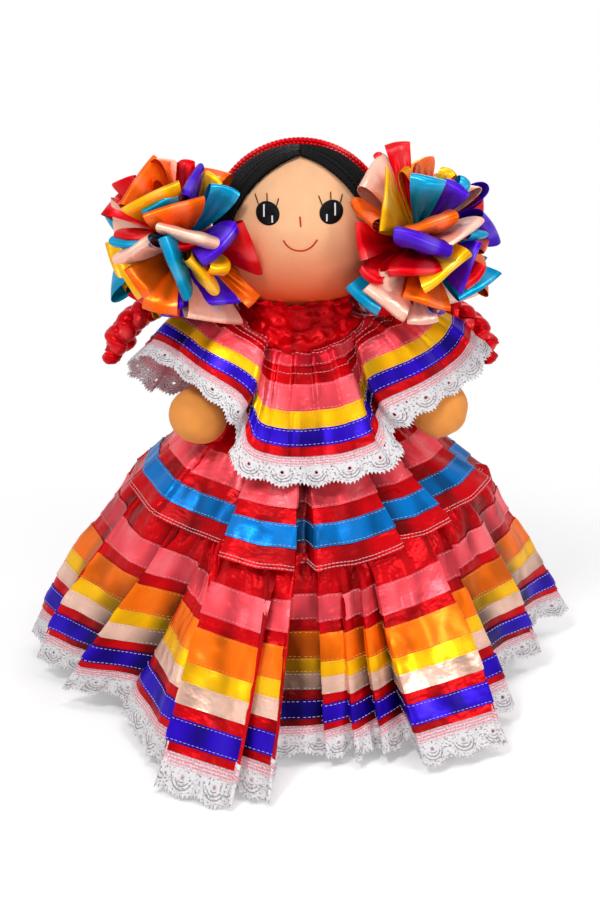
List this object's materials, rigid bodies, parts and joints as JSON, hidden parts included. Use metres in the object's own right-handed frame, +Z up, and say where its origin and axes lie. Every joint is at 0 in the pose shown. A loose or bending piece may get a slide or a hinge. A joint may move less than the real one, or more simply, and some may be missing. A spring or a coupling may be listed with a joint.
{
  "type": "rag doll",
  "caption": "Stuffed rag doll in a pleated two-tier ribbon skirt with lace, a gathered flounce, ribbon pompoms and braids; head, arms and legs move.",
  "frame": {"origin": "on the floor, under the middle of the skirt", "axes": "+Z up, the doll faces -Y, its own left is +X"},
  "size_m": [0.3942, 0.4034, 0.3815],
  "materials": {
    "skin_cloth": "matte woven cotton",
    "hand_cloth": "matte woven cotton",
    "red_satin": "soft satin",
    "coral_ribbon": "satin ribbon",
    "orange_ribbon": "satin ribbon",
    "yellow_ribbon": "satin ribbon",
    "cream_ribbon": "satin ribbon",
    "purple_ribbon": "satin ribbon",
    "turquoise_ribbon": "satin ribbon",
    "peach_ribbon": "satin ribbon",
    "white_lace": "matte lace",
    "white_cotton": "matte cotton",
    "black_yarn": "matte yarn",
    "black_thread": "silky thread",
    "black_felt": "matte felt"
  },
  "bodies": {
    "torso": {"torso": "skin_cloth", "neck": "skin_cloth", "bodice": "red_satin", "collar": "red_satin", "flounce": "red_satin", "flounce_upper_coral_ribbon": "coral_ribbon", "flounce_coral_ribbon": "coral_ribbon", "flounce_yellow_ribbon": "yellow_ribbon", "flounce_purple_ribbon": "purple_ribbon", "flounce_lace": "white_lace", "waistband": "red_satin", "skirt_upper_tier": "red_satin", "upper_coral_ribbon": "coral_ribbon", "upper_turquoise_ribbon": "turquoise_ribbon", "skirt_lower_tier": "red_satin", "lower_coral_ribbon": "coral_ribbon", "lower_orange_ribbon": "orange_ribbon", "lower_yellow_ribbon": "yellow_ribbon", "lower_cream_ribbon": "cream_ribbon", "lower_purple_ribbon": "purple_ribbon", "hem_lace": "white_lace", "petticoat": "white_cotton"},
    "head": {"head": "skin_cloth", "hair": "black_yarn", "left_eye": "black_thread", "right_eye": "black_thread", "nose_stitch": "red_satin", "mouth_stitch": "red_satin", "crown_braid": "red_satin", "left_pompom_red": "red_satin", "left_pompom_orange": "orange_ribbon", "left_pompom_yellow": "yellow_ribbon", "left_pompom_turquoise": "turquoise_ribbon", "left_pompom_purple": "purple_ribbon", "left_pompom_peach": "peach_ribbon", "left_pompom_tie": "red_satin", "right_pompom_red": "red_satin", "right_pompom_orange": "orange_ribbon", "right_pompom_yellow": "yellow_ribbon", "right_pompom_turquoise": "turquoise_ribbon", "right_pompom_purple": "purple_ribbon", "right_pompom_peach": "peach_ribbon", "right_pompom_tie": "red_satin", "left_braid": "red_satin", "right_braid": "red_satin"},
    "left_arm": {"left_arm": "hand_cloth", "left_sleeve": "red_satin"},
    "right_arm": {"right_arm": "hand_cloth", "right_sleeve": "red_satin"},
    "left_leg": {"left_leg": "skin_cloth", "left_shoe": "black_felt"},
    "right_leg": {"right_leg": "skin_cloth", "right_shoe": "black_felt"}
  },
  "joints": [
    {"name": "head_nod", "type": "hinge", "parent": "torso", "child": "head", "pos_m": [0, -0.006, 0.266], "axis": [1, 0, 0], "range_deg": [-10, 14], "stiffness_Nm_per_rad": 0.6, "deforming": ["neck", "collar", "left_braid", "right_braid"]},
    {"name": "left_shoulder", "type": "hinge", "parent": "torso", "child": "left_arm", "pos_m": [0.0468, 0, 0.236], "axis": [0, -1, 0], "range_deg": [0, 30], "deforming": ["flounce", "flounce_upper_coral_ribbon", "flounce_coral_ribbon", "flounce_yellow_ribbon", "flounce_purple_ribbon", "flounce_lace"]},
    {"name": "right_shoulder", "type": "hinge", "parent": "torso", "child": "right_arm", "pos_m": [-0.0468, 0, 0.236], "axis": [0, 1, 0], "range_deg": [0, 30]},
    {"name": "left_hip", "type": "hinge", "parent": "torso", "child": "left_leg", "pos_m": [0.019, 0, 0.1615], "axis": [-1, 0, 0], "range_deg": [-20, 30]},
    {"name": "right_hip", "type": "hinge", "parent": "torso", "child": "right_leg", "pos_m": [-0.019, 0, 0.1615], "axis": [-1, 0, 0], "range_deg": [-20, 30]}
  ]
}
